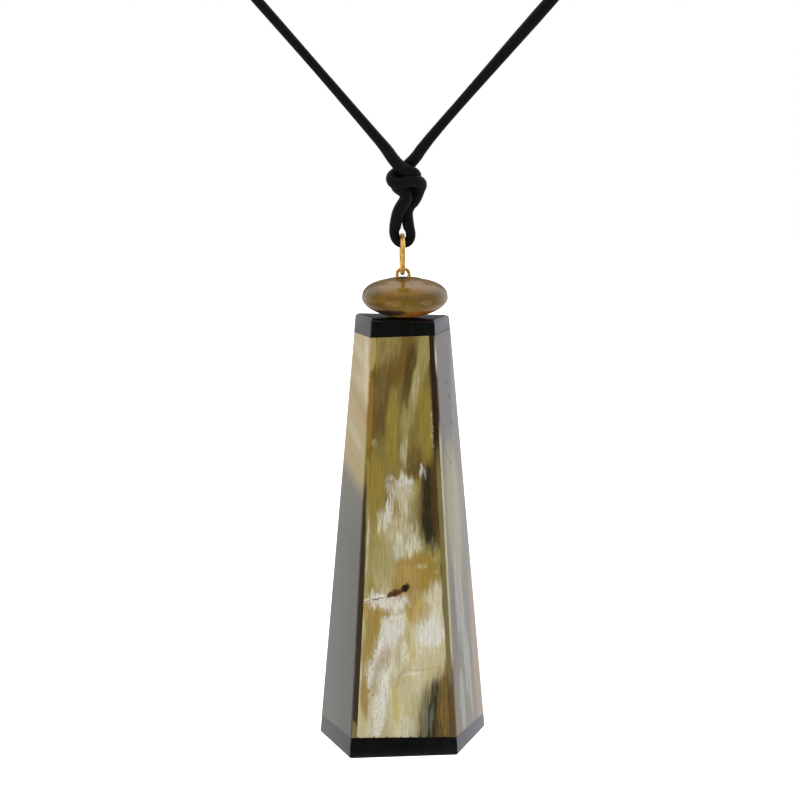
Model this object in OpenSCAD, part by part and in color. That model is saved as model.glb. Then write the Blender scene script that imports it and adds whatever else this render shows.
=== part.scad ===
// Horn pendant on a knotted cord: a tall tapered box of horn plates with black end caps,
// hung by a wire eye and a ring from a loop in the cord. Millimetres, +Z up, front towards -Y.
// The origin is under the clasp at the nape, where the necklace rests on what carries it.

/* [Pendant body] */
// Height of the body with both caps
body_h = 101.5; // [70:1:140]
// Width of the front face at the top
top_front_w = 13.7; // [11:0.1:18]
// Width across the back at the top
top_back_w = 21.5; // [19:0.1:26]
// Depth of the body at the top
top_depth = 7.5; // [6:0.1:10]
// Width of the front face at the base
base_front_w = 24.8; // [20:0.1:30]
// Width across the back at the base
base_back_w = 40; // [32:0.1:46]
// Depth of the body at the base
base_depth = 15.3; // [10:0.1:20]
// How far the middle of the base lies in front of the eye, so that the body hangs plumb
base_shift = 1.05; // [0:0.05:2]
// Thickness of the horn plates
plate_t = 1.2; // [0.8:0.1:2]
// Rounding of the two front edges
front_edge_r = 0.3; // [0.1:0.1:0.6]
// Rounding of the two back edges
back_edge_r = 0.6; // [0.3:0.1:1.2]

/* [End caps] */
// Height of the top cap at its left edge
top_cap_left = 4; // [3.2:0.1:6]
// Height of the top cap at its right edge
top_cap_right = 3.3; // [3:0.1:6]
// Height of the base cap at the front
base_cap_front = 4.8; // [3:0.1:7]
// Height of the base cap at the back
base_cap_back = 4; // [3:0.1:7]
// Rounding of the outer rim of both caps
rim_r = 0.6; // [0.4:0.1:1.2]
// How steeply the top face falls to the right, in degrees
top_fall = 1.4; // [0:0.1:3]
// How steeply the bottom face rises to the right, in degrees
base_rise = 1.6; // [0:0.1:3]
// Glue line between the horn pieces
glue_gap = 0.05; // [0.02:0.01:0.1]

/* [Bead] */
// Diameter of the bead
bead_d = 18.8; // [14:0.1:24]
// Height of the bead above its widest line
bead_up = 4.1; // [3:0.1:6]
// Height of the bead below its widest line
bead_down = 4.2; // [3:0.1:6]
// Fullness of its upper half: 2 is an ellipse, more is rounder shouldered
full_up = 2.6; // [2:0.1:3]
// Fullness of its lower half
full_down = 1.75; // [1.6:0.05:2.4]
// Hole through the bead
bead_bore = 3.8; // [3.6:0.1:5]
// How far the bead sits off its hole, to the right
bead_off = 0.5; // [0:0.1:1]

/* [Wire eye] */
// Wire of the eye
eye_wire = 0.75; // [0.6:0.05:0.9]
// Clear width inside the eye
eye_inner = 1.9; // [1.7:0.05:2]
// Straight stretch of the eye above the bead
eye_show = 1.15; // [0.9:0.05:3]
// How deep the legs of the eye sit in the top cap
eye_sink = 2; // [1:0.1:2.4]

/* [Ring] */
// Outer diameter of the ring
ring_d = 9.2; // [8.4:0.1:12]
// Wire of the ring
ring_wire = 1; // [0.8:0.05:1.2]
// Play where one hanging piece sits in the next
hang_gap = 0.1; // [0.05:0.01:0.2]

/* [Cord] */
// Thickness of the cord
cord_d = 2.1; // [1.6:0.1:2.4]

/* [Clasp] */
// Diameter of the barrel clasp
clasp_d = 4; // [3.4:0.1:6]
// Length of the barrel clasp
clasp_l = 14; // [10:0.5:20]
// How deep the cord goes into each end of the clasp
clasp_cup = 3; // [2:0.1:4]

/* [Hidden] */
slab = 0.01;           // thickness of the thin sections that are hulled into a wall
fit_gap = 0.05;        // play of the eye's legs and of the cord in their holes
cord_sides = 8;
ring_step = 3.5 * cord_d;
clasp_z = clasp_d / 2;

// Right half of the necklace in its plane, X and Z, from the clasp down to the knot.
// The left half mirrors it. The first point follows the clasp.
strand_route = [
    [14, 2], [24, 1], [36, -1], [48.5, -4.5], [60, -10], [69, -17.5], [74.5, -26.5], [76, -37],
    [73.5, -48], [67.5, -59], [59, -70], [40, -92], [21, -113.5], [8.3, -128], [4.2, -132.8],
    [2, -135.8], [1.3, -138]];

// The loop below the knot, X Y Z: the left leg lies in front, the right leg behind.
loop_route = [
    [0.6, -1, -144.5], [-0.6, -1, -146.6], [-1.6, -0.7, -148.6], [-1.9, -0.2, -150.7],
    [-1.6, 0, -152.6], [-0.9, 0, -153.3], [0, 0, -153.5], [0.9, 0, -153.3], [1.6, 0, -152.6],
    [1.9, 0.2, -150.7], [1.8, 0.7, -148.6], [1.4, 1, -146.6], [1.2, 1, -144.5]];
loop_low = loop_route[6];

// The knot's lobes: X, Z, radius, and half the spread in depth
LX = 0; LZ = 1; LR = 2; LY = 3;
knot_left = [-1.3, -139.9, 2.2, 0.9];
knot_high = [1.8, -138.6, 1.9, 1.1];
knot_right = [3.1, -141.2, 2.1, 0.7];
knot_core = [0.7, -141.6, 2.2, 0.9];
knot_foot = [1.5, -144.2, 1.6, 0.8];

// The hanging chain, each height from the piece above
ring_mid_r = (ring_d - ring_wire) / 2;
ring_z = loop_low.z + cord_d / 2 + hang_gap + ring_wire / 2 - ring_mid_r;
ring_low_z = ring_z - ring_mid_r;
eye_mid_r = (eye_inner + eye_wire) / 2;
eye_z = ring_low_z + ring_wire / 2 + hang_gap + eye_wire / 2 - eye_mid_r;
bead_mid_z = eye_z - eye_show - bead_up;
// The bead stands on the rim of its hole, at the side where the hole is nearest to its middle
bead_rim = (bead_bore / 2 - bead_off) / (bead_d / 2);
bead_seat_z = bead_mid_z - bead_down * pow(1 - pow(bead_rim, full_down), 1 / full_down);
body_top_z = bead_seat_z - glue_gap;
body_low_z = body_top_z - body_h;

function blend(a, b, share) = a + (b - a) * share;
function share_at(depth_below) = depth_below / body_h;
function front_half(s) = blend(top_front_w, base_front_w, s) / 2;
function back_half(s) = blend(top_back_w, base_back_w, s) / 2;
function half_depth(s) = blend(top_depth, base_depth, s) / 2;
function middle_y(s) = -base_shift * s;
// Half the width of the body at depth y behind the middle of level s, less a wall measured
// square to the side face
function side_x(s, y, wall) =
    let (lean = (back_half(s) - front_half(s)) / (2 * half_depth(s)))
    front_half(s) + (y + half_depth(s)) * lean - wall * sqrt(1 + lean * lean);

function unit(v) = v / norm(v);
// A point on the smooth curve through p, between p[i] and p[i + 1]
function curve_point(p, i, t) =
    let (a = p[max(i - 1, 0)], b = p[i], c = p[i + 1], d = p[min(i + 2, len(p) - 1)])
    0.5 * (2 * b + (c - a) * t + (2 * a - 5 * b + 4 * c - d) * t * t
        + (3 * b - a - 3 * c + d) * t * t * t);
// The curve's points with one ring about every ring_step
function smooth(p) = concat(
    [for (i = [0:len(p) - 2])
        let (steps = max(1, round(norm(p[i + 1] - p[i]) / ring_step)))
        for (k = [0:steps - 1]) curve_point(p, i, k / steps)], [p[len(p) - 1]]);

// A round tube along a path that never runs along Y
module tube(path, d) {
    n = len(path);
    rings = [for (i = [0:n - 1])
        let (t = unit(path[min(i + 1, n - 1)] - path[max(i - 1, 0)]),
            u = unit(cross([0, 1, 0], t)), v = cross(t, u))
        for (k = [0:cord_sides - 1])
            let (a = 360 * (k + 0.5) / cord_sides) path[i] + (u * cos(a) + v * sin(a)) * d / 2];
    walls = [for (i = [0:n - 2], k = [0:cord_sides - 1])
        let (a = i * cord_sides + k, b = i * cord_sides + (k + 1) % cord_sides)
        [a, a + cord_sides, b + cord_sides, b]];
    polyhedron(rings, concat(walls, [[for (k = [0:cord_sides - 1]) k]],
        [[for (k = [cord_sides - 1:-1:0]) (n - 1) * cord_sides + k]]));
}

// One thin level of the body's outer form, drawn in by inset all round
module body_level(s, inset, turned_up) {
    z = body_top_z - s * body_h - (turned_up ? 0 : slab);
    for (side = [-1, 1], back = [0, 1]) {
        r = (back == 1 ? back_edge_r : front_edge_r);
        y = (back == 1 ? 1 : -1) * (half_depth(s) - inset - r);
        translate([side * side_x(s, y, inset + r), middle_y(s) + y, z])
            cylinder(r = r, h = slab, $fn = 32);
    }
}

// Tips what lies near height z about the depth axis, its right side down
module tipped(z, angle) {
    translate([0, 0, z]) rotate([0, angle, 0]) translate([0, 0, -z]) children();
}

// The whole outer form between the tops of the rounded rims, as one convex solid
module body_form() {
    hull() {
        for (k = [0:4]) {
            drop = rim_r * (1 - sin(k * 22.5));
            inset = rim_r * (1 - cos(k * 22.5));
            tipped(body_top_z, top_fall) body_level(share_at(drop), inset, false);
            tipped(body_low_z, -base_rise) body_level(1 - share_at(drop), inset, true);
        }
    }
}

big = 2 * (body_h + base_back_w);
// Everything above the slanted seat of the top cap, moved up by lift
module above_top_joint(lift) {
    translate([0, 0, body_top_z - (top_cap_left + top_cap_right) / 2 + lift])
        rotate([0, -atan((top_cap_left - top_cap_right) / top_back_w), 0])
            translate([-big / 2, -big / 2, 0]) cube(big);
}
// Everything below the slanted seat of the base cap, moved down by drop
module below_base_joint(drop) {
    translate([0, 0, body_low_z + (base_cap_front + base_cap_back) / 2 - drop])
        rotate([atan((base_cap_back - base_cap_front) / base_depth), 0, 0])
            translate([-big / 2, -big / 2, -big]) cube(big);
}

// What lies between the side plates, less a gap at each. near and far are its depths behind the
// middle, at the top and at the base.
module between_sides(near, far, gap) {
    hull() {
        for (s = [0, 1]) {
            y_near = near[s];
            y_far = far[s];
            half_near = side_x(s, y_near, plate_t) - gap;
            half_far = side_x(s, y_far, plate_t) - gap;
            translate([0, middle_y(s), body_top_z - s * body_h]) linear_extrude(slab)
                polygon([[-half_near, y_near], [half_near, y_near],
                    [half_far, y_far], [-half_far, y_far]]);
        }
    }
}

// A flat plate between the side plates: front (-1) or back (1)
module inner_plate(face) {
    difference() {
        between_sides([for (s = [0, 1]) face * half_depth(s)],
            [for (s = [0, 1]) face * (half_depth(s) - plate_t)], glue_gap);
        above_top_joint(-glue_gap);
        below_base_joint(-glue_gap);
    }
}

// A side plate over the whole depth of the body: left (-1) or right (1)
module side_plate(side) {
    difference() {
        hull() {
            for (s = [0, 1], back = [0, 1]) {
                r = (back == 1 ? back_edge_r : front_edge_r);
                y = (back == 1 ? 1 : -1) * (half_depth(s) - r);
                translate([0, middle_y(s), body_top_z - s * body_h]) {
                    translate([side * side_x(s, y, r), y, 0])
                        cylinder(r = r, h = slab, $fn = 32);
                    translate([side * side_x(s, y, 1.2 * plate_t + r), y, 0])
                        cylinder(r = r, h = slab, $fn = 32);
                }
            }
        }
        between_sides([for (s = [0, 1]) -half_depth(s) - 1],
            [for (s = [0, 1]) half_depth(s) + 1], 0);
        above_top_joint(-glue_gap);
        below_base_joint(-glue_gap);
    }
}

module front_plate() { color("#8f7c40") inner_plate(-1); }
module back_plate() { color("#8a7a50") inner_plate(1); }
module left_plate() { color("#a39a84") side_plate(-1); }
module right_plate() { color("#8f8c88") side_plate(1); }

module top_cap() {
    color("#1a1a1c") difference() {
        intersection() { body_form(); above_top_joint(0); }
        for (side = [-1, 1])
            translate([side * eye_mid_r, 0, body_top_z - eye_sink - fit_gap])
                cylinder(d = eye_wire + 2 * fit_gap, h = eye_sink + 1, $fn = 32);
    }
}

module base_cap() {
    color("#1a1a1c") intersection() { body_form(); below_base_joint(0); }
}

// The bead's outline: a flattened round with full shoulders and a leaner underside
function bead_point(a) =
    let (full = a > 0 ? full_up : full_down, tall = a > 0 ? bead_up : -bead_down)
    [bead_d / 2 * pow(max(cos(a), 0), 2 / full), tall * pow(abs(sin(a)), 2 / full)];
module bead() {
    color("#8a6a35") difference() {
        translate([bead_off, 0, bead_mid_z])
            rotate_extrude($fn = 64) polygon([for (a = [-90:7.5:90]) bead_point(a)]);
        translate([0, 0, bead_mid_z - bead_down - 1])
            cylinder(d = bead_bore, h = bead_up + bead_down + 2, $fn = 48);
    }
}

module eye() {
    leg = eye_z - body_top_z + eye_sink;
    color("#d8a028") translate([0, 0, eye_z]) {
        rotate([90, 0, 0]) rotate_extrude(angle = 180, $fn = 48)
            translate([eye_mid_r, 0]) circle(d = eye_wire, $fn = 24);
        for (side = [-1, 1]) translate([side * eye_mid_r, 0, -leg])
            cylinder(d = eye_wire, h = leg, $fn = 24);
    }
}

module jump_ring() {
    color("#d8a028") translate([0, 0, ring_z]) rotate([0, 90, 0])
        rotate_extrude($fn = 64) translate([ring_mid_r, 0]) circle(d = ring_wire, $fn = 24);
}

// The two strands run from inside the clasp down into the knot
module strand(side) {
    inside = clasp_l / 2 - clasp_cup + fit_gap;
    flat = concat([[inside, clasp_z], [clasp_l / 2, clasp_z]], strand_route);
    tube(smooth([for (q = flat) [side * q.x, 0, q.y]]), cord_d);
}
module cord_left() { color("#18181a") strand(-1); }
module cord_right() { color("#18181a") strand(1); }
module cord_loop() { color("#18181a") tube(smooth(loop_route), cord_d); }

module lobe(p) {
    for (side = [-1, 1]) translate([p[LX], side * p[LY], p[LZ]]) sphere(r = p[LR], $fn = 28);
}
module knot() {
    color("#18181a") union() {
        hull() { lobe(knot_left); lobe(knot_high); lobe(knot_core); }
        hull() { lobe(knot_core); lobe(knot_right); }
        hull() { lobe(knot_right); lobe(knot_foot); }
        hull() { lobe(knot_core); lobe(knot_foot); }
    }
}

module clasp() {
    round = clasp_d / 8;
    color("#d8a028") translate([0, 0, clasp_z]) rotate([0, 90, 0]) difference() {
        rotate_extrude($fn = 48) polygon([
            [0, -clasp_l / 2], [clasp_d / 2 - round, -clasp_l / 2], [clasp_d / 2, round - clasp_l / 2],
            [clasp_d / 2, clasp_l / 2 - round], [clasp_d / 2 - round, clasp_l / 2], [0, clasp_l / 2]]);
        for (end = [0, 180]) rotate([end, 0, 0])
            translate([0, 0, clasp_l / 2 - clasp_cup])
                cylinder(d = cord_d + 2 * fit_gap, h = clasp_cup + 1, $fn = 32);
    }
}

clasp();
cord_left();
cord_right();
knot();
cord_loop();
jump_ring();
eye();
bead();
top_cap();
base_cap();
front_plate();
back_plate();
left_plate();
right_plate();
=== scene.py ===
import bpy, bmesh, math
from mathutils import Matrix, Vector


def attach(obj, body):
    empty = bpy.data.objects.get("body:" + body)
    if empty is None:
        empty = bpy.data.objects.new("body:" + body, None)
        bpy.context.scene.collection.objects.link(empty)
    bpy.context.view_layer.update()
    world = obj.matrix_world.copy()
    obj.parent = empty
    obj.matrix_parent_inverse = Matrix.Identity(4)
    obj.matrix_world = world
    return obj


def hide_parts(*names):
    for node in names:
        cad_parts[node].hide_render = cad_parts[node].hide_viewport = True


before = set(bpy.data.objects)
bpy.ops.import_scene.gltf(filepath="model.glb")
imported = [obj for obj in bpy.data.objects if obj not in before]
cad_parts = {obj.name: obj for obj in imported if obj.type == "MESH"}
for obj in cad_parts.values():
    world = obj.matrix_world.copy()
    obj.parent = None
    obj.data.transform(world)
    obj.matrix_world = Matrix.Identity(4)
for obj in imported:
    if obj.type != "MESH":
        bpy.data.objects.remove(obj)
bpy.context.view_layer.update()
scene = bpy.context.scene
mm = 0.001

# where the photograph was taken from, in millimetres and degrees
cameraSet = {"place": (-5.673, -349.519, -101.614), "down": 13.991, "turn": 0.831, "roll": -0.086,
    "lens": 72.73, "film": 36, "nearest": 10}


def placeCamera(c):
    down, turn, roll = (math.radians(c[k]) for k in ("down", "turn", "roll"))
    ahead = Vector((math.sin(turn) * math.cos(down), math.cos(turn) * math.cos(down), -math.sin(down)))
    level = ahead.cross(Vector((0, 0, 1))).normalized()
    upright = level.cross(ahead)
    across = level * math.cos(roll) + upright * math.sin(roll)
    above = upright * math.cos(roll) - level * math.sin(roll)
    lens = bpy.data.cameras.new("photoCamera")
    lens.lens, lens.sensor_width, lens.clip_start = c["lens"], c["film"], c["nearest"] * mm
    camera = bpy.data.objects.new("photoCamera", lens)
    scene.collection.objects.link(camera)
    turned = Matrix((across, above, -ahead)).transposed().to_4x4()
    camera.matrix_world = Matrix.Translation(Vector(c["place"]) * mm) @ turned
    scene.camera = camera


placeCamera(cameraSet)
print("camera placed")


# small helpers for node trees and meshes
def tone(code):
    parts = [int(code[i:i + 2], 16) / 255 for i in (1, 3, 5)]
    return tuple(p / 12.92 if p <= 0.04045 else ((p + 0.055) / 1.055) ** 2.4 for p in parts) + (1.0,)


def plug(tree, node, key, value):
    if isinstance(value, bpy.types.NodeSocket):
        tree.links.new(value, node.inputs[key])
    else:
        node.inputs[key].default_value = value


def addNode(tree, kind, inputs=None, **settings):
    node = tree.nodes.new(kind)
    for key, value in settings.items():
        setattr(node, key, value)
    for key, value in (inputs or {}).items():
        plug(tree, node, key, value)
    return node


def newGroup(name, kind, takes, gives):
    tree = bpy.data.node_groups.new(name, kind)
    for label, socket, value in takes:
        made = tree.interface.new_socket(label, in_out="INPUT", socket_type="NodeSocket" + socket)
        if value is not None:
            made.default_value = value
    for label, socket in gives:
        tree.interface.new_socket(label, in_out="OUTPUT", socket_type="NodeSocket" + socket)
    return tree, tree.nodes.new("NodeGroupInput").outputs, tree.nodes.new("NodeGroupOutput").inputs


def useGroup(tree, group, **inputs):
    return addNode(tree, "ShaderNodeGroup", inputs, node_tree=group).outputs


def maths(tree, operation, a, b=None, c=None):
    inputs = {i: value for i, value in enumerate((a, b, c)) if value is not None}
    return addNode(tree, "ShaderNodeMath", inputs, operation=operation).outputs[0]


def vectors(tree, operation, a, b):
    return addNode(tree, "ShaderNodeVectorMath", {0: a, 1: b}, operation=operation).outputs["Vector"]


def spread(tree, value, low, high, first, last, smooth=False):
    return addNode(tree, "ShaderNodeMapRange", {0: value, 1: low, 2: high, 3: first, 4: last},
        interpolation_type="SMOOTHSTEP" if smooth else "LINEAR").outputs[0]


def noise(tree, place, scale, detail=4.0, rough=0.6, **more):
    inputs = {"Vector": place, "Scale": scale, "Detail": detail, "Roughness": rough, **more}
    return addNode(tree, "ShaderNodeTexNoise", inputs)


def blendColour(tree, factor, a, b, mode="MIX"):
    inputs = {0: factor, 6: a, 7: b}
    return addNode(tree, "ShaderNodeMix", inputs, data_type="RGBA", blend_type=mode).outputs[2]


def axes(tree, place):
    return addNode(tree, "ShaderNodeSeparateXYZ", {0: place}).outputs


def onFace(tree, across, down):
    return addNode(tree, "ShaderNodeCombineXYZ", {0: across, 1: 0.0, 2: down}).outputs[0]


def pushes(tree, source, reach):
    # turns a noise's colour into a shift of up to half the reach either way
    centred = vectors(tree, "SUBTRACT", source.outputs["Color"], (0.5, 0.5, 0.5))
    return vectors(tree, "MULTIPLY", centred, reach)


def objectPlace(tree):
    return addNode(tree, "ShaderNodeTexCoord").outputs["Object"]


def linkMesh(name, mesh):
    piece = bpy.data.objects.new(name, mesh)
    mesh.name = name
    scene.collection.objects.link(piece)
    return piece


def roundShading(mesh, sharp):
    for face in mesh.polygons:
        face.use_smooth = True
    mesh.set_sharp_from_angle(angle=math.radians(sharp))


def runTree(name, source, tree, values):
    modifier = source.modifiers.new("made", "NODES")
    modifier.node_group = tree
    for item in tree.interface.items_tree:
        if item.in_out == "INPUT" and item.name in values:
            modifier[item.identifier] = values[item.name]
    bpy.context.view_layer.update()
    graph = bpy.context.evaluated_depsgraph_get()
    shown = source.evaluated_get(graph)
    mesh = bpy.data.meshes.new_from_object(shown, preserve_all_data_layers=True, depsgraph=graph)
    source.modifiers.clear()
    bpy.data.objects.remove(source)
    return linkMesh(name, mesh)


def lathe(name, profile, steps, axis="Z", centre=(0, 0, 0), same=1e-5):
    # turns a closed profile of (radius, height) pairs in millimetres round an axis
    turns = [2 * math.pi * k / steps for k in range(steps)]
    mesh = bmesh.new()
    rings = [[mesh.verts.new((r * math.cos(a), r * math.sin(a), h)) for a in turns] for r, h in profile]
    for low, high in zip(rings, rings[1:] + rings[:1]):
        for k in range(steps):
            after = (k + 1) % steps
            mesh.faces.new((low[k], low[after], high[after], high[k]))
    bmesh.ops.remove_doubles(mesh, verts=mesh.verts, dist=same)
    if axis == "X":
        upToAcross = Matrix.Rotation(math.pi / 2, 3, "Y")
        bmesh.ops.rotate(mesh, verts=mesh.verts, cent=(0, 0, 0), matrix=upToAcross)
    bmesh.ops.scale(mesh, verts=mesh.verts, vec=(mm, mm, mm))
    bmesh.ops.translate(mesh, verts=mesh.verts, vec=Vector(centre) * mm)
    bmesh.ops.recalc_face_normals(mesh, faces=mesh.faces)
    made = bpy.data.meshes.new(name)
    mesh.to_mesh(made)
    mesh.free()
    return linkMesh(name, made)


def share(value):
    return min(1, max(0, value))


def between(table, at):
    # reads a table of (place, value) pairs, places falling
    for (a, x), (b, y) in zip(table, table[1:]):
        if at >= b:
            return x + (y - x) * share((a - at) / (a - b))
    return table[-1][1]


def smoothRoute(points, stepAt):
    # a curve through all the points, cut into short steps
    route = []
    for i in range(len(points) - 1):
        a, b, c, d = (Vector(points[k]) for k in (max(i - 1, 0), i, i + 1, min(i + 2, len(points) - 1)))
        parts = max(1, round((c - b).length / stepAt((b.z + c.z) / 2)))
        for k in range(parts):
            t = k / parts
            bend, twist = 2 * a - 5 * b + 4 * c - d, 3 * b - a - 3 * c + d
            route.append(0.5 * (2 * b + (c - a) * t + bend * t * t + twist * t ** 3))
    return route + [Vector(points[-1])]


def routeCurve(name, route, swell):
    data = bpy.data.curves.new(name, "CURVE")
    data.dimensions = "3D"
    spline = data.splines.new("POLY")
    spline.points.add(len(route) - 1)
    for i, (point, place) in enumerate(zip(spline.points, route)):
        point.co = (*(place * mm), 1)
        point.radius = swell[i] if swell else 1.0
    curve = bpy.data.objects.new(name, data)
    scene.collection.objects.link(curve)
    return curve


# shader groups that several materials share
fibreSet = {"detail": 5.0, "rough": 0.62, "dark": 0.3, "pale": 0.7}
patchSet = {"full": 0.55, "gone": 1.45}


def makeFibre(c):
    # streaks along the third axis: Fine is their rate across in a millimetre, Long its share along them
    tree, takes, gives = newGroup("fibre", "ShaderNodeTree",
        [("Place", "Vector", None), ("Fine", "Float", 3.0), ("Long", "Float", 0.1), ("Seed", "Float", 0.0)],
        [("Value", "Float"), ("Height", "Float")])
    along = maths(tree, "MULTIPLY", takes["Fine"], takes["Long"])
    squeeze = addNode(tree, "ShaderNodeCombineXYZ", {0: takes["Fine"], 1: takes["Fine"], 2: along}).outputs[0]
    grain = noise(tree, vectors(tree, "MULTIPLY", takes["Place"], squeeze), 1.0, c["detail"], c["rough"])
    grain.noise_dimensions = "4D"
    plug(tree, grain, "W", takes["Seed"])
    tree.links.new(spread(tree, grain.outputs[0], c["dark"], c["pale"], 0, 1), gives["Value"])
    tree.links.new(grain.outputs[0], gives["Height"])
    return tree


def makePatch(c):
    # adds one soft leaning oval to a running total, which becomes the mask of one colour
    tree, takes, gives = newGroup("hornPatch", "ShaderNodeTree",
        [("Place", "Vector", None), ("Before", "Float", 0.0), ("Centre", "Vector", None),
            ("Spread", "Vector", None), ("Lean", "Float", 0.0), ("Amount", "Float", 1.0)],
        [("Total", "Float")])
    local = vectors(tree, "SUBTRACT", takes["Place"], takes["Centre"])
    turned = addNode(tree, "ShaderNodeVectorRotate", {"Vector": local, "Angle": takes["Lean"]},
        rotation_type="Y_AXIS").outputs[0]
    reach = addNode(tree, "ShaderNodeVectorMath", {0: vectors(tree, "MULTIPLY", turned, takes["Spread"])},
        operation="LENGTH")
    bump = spread(tree, reach.outputs["Value"], c["full"], c["gone"], 1, 0, True)
    tree.links.new(maths(tree, "MULTIPLY_ADD", bump, takes["Amount"], takes["Before"]), gives["Total"])
    return tree


fibreGroup, patchGroup = makeFibre(fibreSet), makePatch(patchSet)


def newMaterial(name, **sockets):
    material = bpy.data.materials.new(name)
    material.use_nodes = True
    tree = material.node_tree
    shader = tree.nodes["Principled BSDF"]
    for key, value in sockets.items():
        shader.inputs[key.replace("_", " ")].default_value = value
    return material, tree, shader


def fibreOf(tree, place, fine, long, seed):
    return useGroup(tree, fibreGroup, Place=place, Fine=fine, Long=long, Seed=seed)


def grainOf(tree, place, fine, long, seed):
    # the same streaks, centred on nought
    return maths(tree, "SUBTRACT", fibreOf(tree, place, fine, long, seed)["Value"], 0.5)


def bumpTo(tree, shader, height, distance, strength):
    bump = addNode(tree, "ShaderNodeBump", {"Height": height, "Distance": distance, "Strength": strength})
    tree.links.new(bump.outputs[0], shader.inputs["Normal"])


def hornPlace(tree, top):
    # object coordinates in millimetres: across, deep, and down from the top
    inputs = {"Vector": objectPlace(tree), "Location": (0, 0, top), "Scale": (1 / mm, 1 / mm, -1 / mm)}
    return addNode(tree, "ShaderNodeMapping", inputs).outputs[0]


def spot(x, h, wide, tall, amount=1.0):
    # a soft oval at x across and h down, with half its width and half its height
    return dict(x=x, h=h, wide=wide, tall=tall, amount=amount, lean=0.0)


def line(x0, h0, x1, h1, wide, amount=1.0):
    # a long oval from one place to another, with its whole width
    return dict(x=(x0 + x1) / 2, h=(h0 + h1) / 2, wide=wide / 2, tall=math.hypot(x1 - x0, h1 - h0) / 2,
        amount=amount, lean=math.atan2(x1 - x0, h1 - h0))


def layer(colour, soft, bite, grain, *spots, most=1.0):
    # one colour: how soft its edge is, how deep the grain bites into it, and where it lies
    return dict(colour=colour, soft=soft, bite=bite, grain=grain, spots=spots, most=most)


def ownColour(code, lit, least=0.003):
    # colours are written as the eye meets them; the light on that face and its sheen are taken off here
    return tuple(max(least, (c - g) / lit["light"]) for c, g in zip(tone(code), lit["glare"])) + (1.0,)


def paintLayers(tree, place, grains, colour, layers, lit):
    for item in layers:
        total = 0.0
        for p in item["spots"]:
            total = useGroup(tree, patchGroup, Place=place, Before=total, Centre=(p["x"], 0, p["h"]),
                Spread=(1 / p["wide"], 0, 1 / p["tall"]), Lean=-p["lean"], Amount=p["amount"])[0]
        bitten = maths(tree, "MULTIPLY_ADD", grains[item["grain"]], 2 * item["bite"], 1.0)
        field = maths(tree, "MULTIPLY", bitten, total)
        mask = spread(tree, field, 0.5 - item["soft"], 0.5 + item["soft"], 0, item["most"], True)
        colour = blendColour(tree, mask, colour, ownColour(item["colour"], lit))
    return colour


def groundRamp(tree, down, stops, lit, reach=100):
    ramp = addNode(tree, "ShaderNodeValToRGB", {0: maths(tree, "DIVIDE", down, reach)})
    keys = ramp.color_ramp.elements
    for i, (h, code) in enumerate(stops):
        key = keys[i] if i < 2 else keys.new(h / reach)
        key.position, key.color = h / reach, ownColour(code, lit)
    return ramp.outputs[0]


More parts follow.
